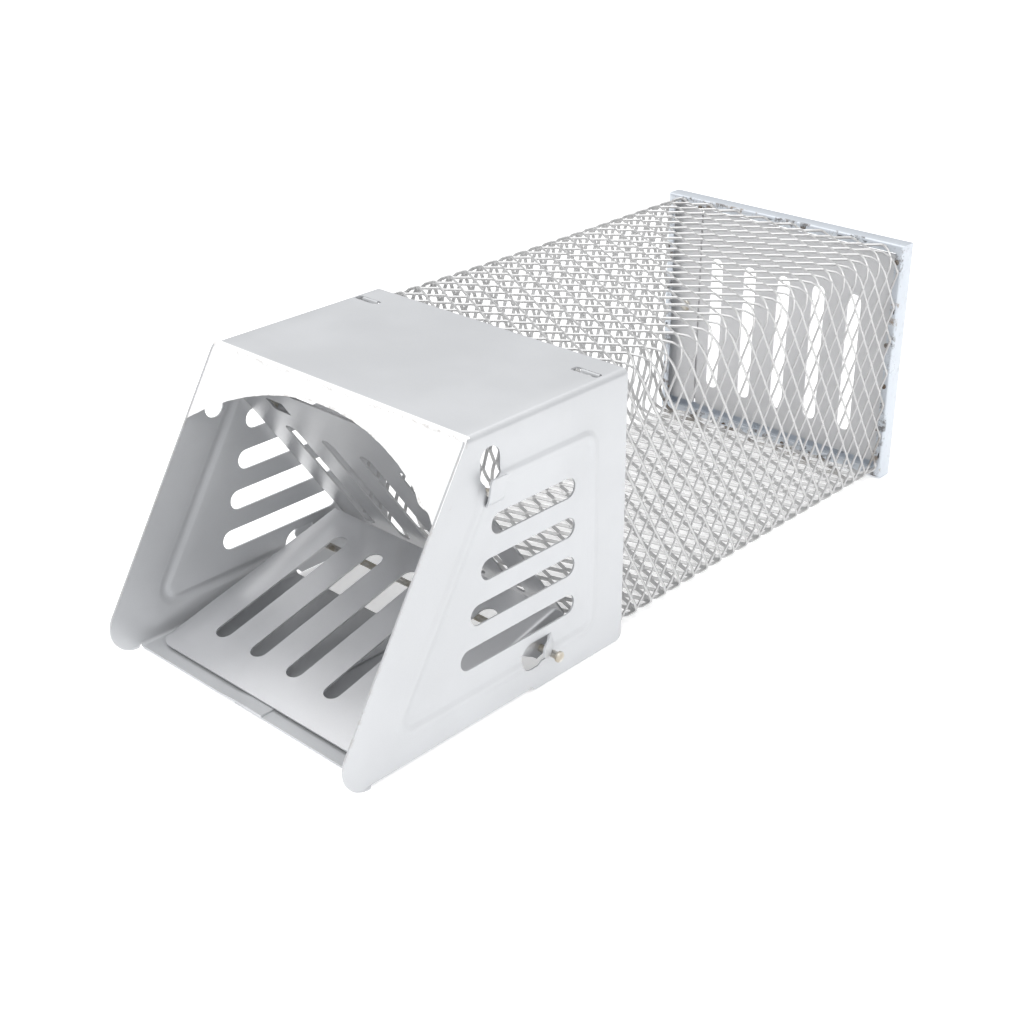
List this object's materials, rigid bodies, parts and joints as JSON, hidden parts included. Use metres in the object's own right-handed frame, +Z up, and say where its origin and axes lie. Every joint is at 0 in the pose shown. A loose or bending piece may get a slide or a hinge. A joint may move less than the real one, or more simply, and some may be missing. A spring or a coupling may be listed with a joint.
{
  "type": "live catch trap",
  "caption": "Reusable live catch trap: folded sheet head with see-saw treadle and one-way gate, expanded-metal cage and a framed end with a hinged release door.",
  "frame": {"origin": "centre of the footprint on the ground", "axes": "+Z up, +Y from the mouth towards the framed end, +X towards the right side plate seen from behind the trap"},
  "size_m": [0.151, 0.36, 0.1184],
  "materials": {
    "silver_paint": "satin silver paint, lightly scuffed at edges",
    "mesh_zinc": "satin silver coated expanded steel",
    "galvanised": "smooth bluish zinc with rust specks at the joints",
    "wire_steel": "drawn wire, cut and peened ends"
  },
  "bodies": {
    "trap_body": {"head_shell": "silver_paint", "entrance_lintel": "silver_paint", "cage_top": "mesh_zinc", "cage_left": "mesh_zinc", "cage_right": "mesh_zinc", "cage_bottom": "mesh_zinc", "frame_top": "galvanised", "frame_bottom": "galvanised", "frame_left": "galvanised", "frame_right": "galvanised", "door_jamb": "silver_paint", "door_hinge_pin": "wire_steel", "hinge_lugs": "galvanised", "latch_rivet": "wire_steel"},
    "see_saw": {"treadle": "silver_paint", "treadle_axle": "wire_steel"},
    "gate_flap": {"gate": "silver_paint", "gate_rod": "wire_steel"},
    "release_door": {"end_door": "silver_paint", "door_knuckles": "wire_steel"},
    "latch": {"latch_button": "galvanised"}
  },
  "joints": [
    {"name": "treadle_tilt", "type": "hinge", "parent": "trap_body", "child": "see_saw", "pos_m": [0, -0.07333, 0.013], "axis": [-1, 0, 0], "range_deg": [0, 65]},
    {"name": "gate_swing", "type": "hinge", "parent": "trap_body", "child": "gate_flap", "pos_m": [0, -0.10653, 0.094], "axis": [1, 0, 0], "range_deg": [0, 60]},
    {"name": "door_swing", "type": "hinge", "parent": "trap_body", "child": "release_door", "pos_m": [0.0615, 0.17785, 0.059], "axis": [0, 0, -1], "range_deg": [0, 110]},
    {"name": "latch_turn", "type": "hinge", "parent": "trap_body", "child": "latch", "pos_m": [-0.0576, 0.17665, 0.059], "axis": [0, 1, 0], "range_deg": [0, 90]}
  ]
}
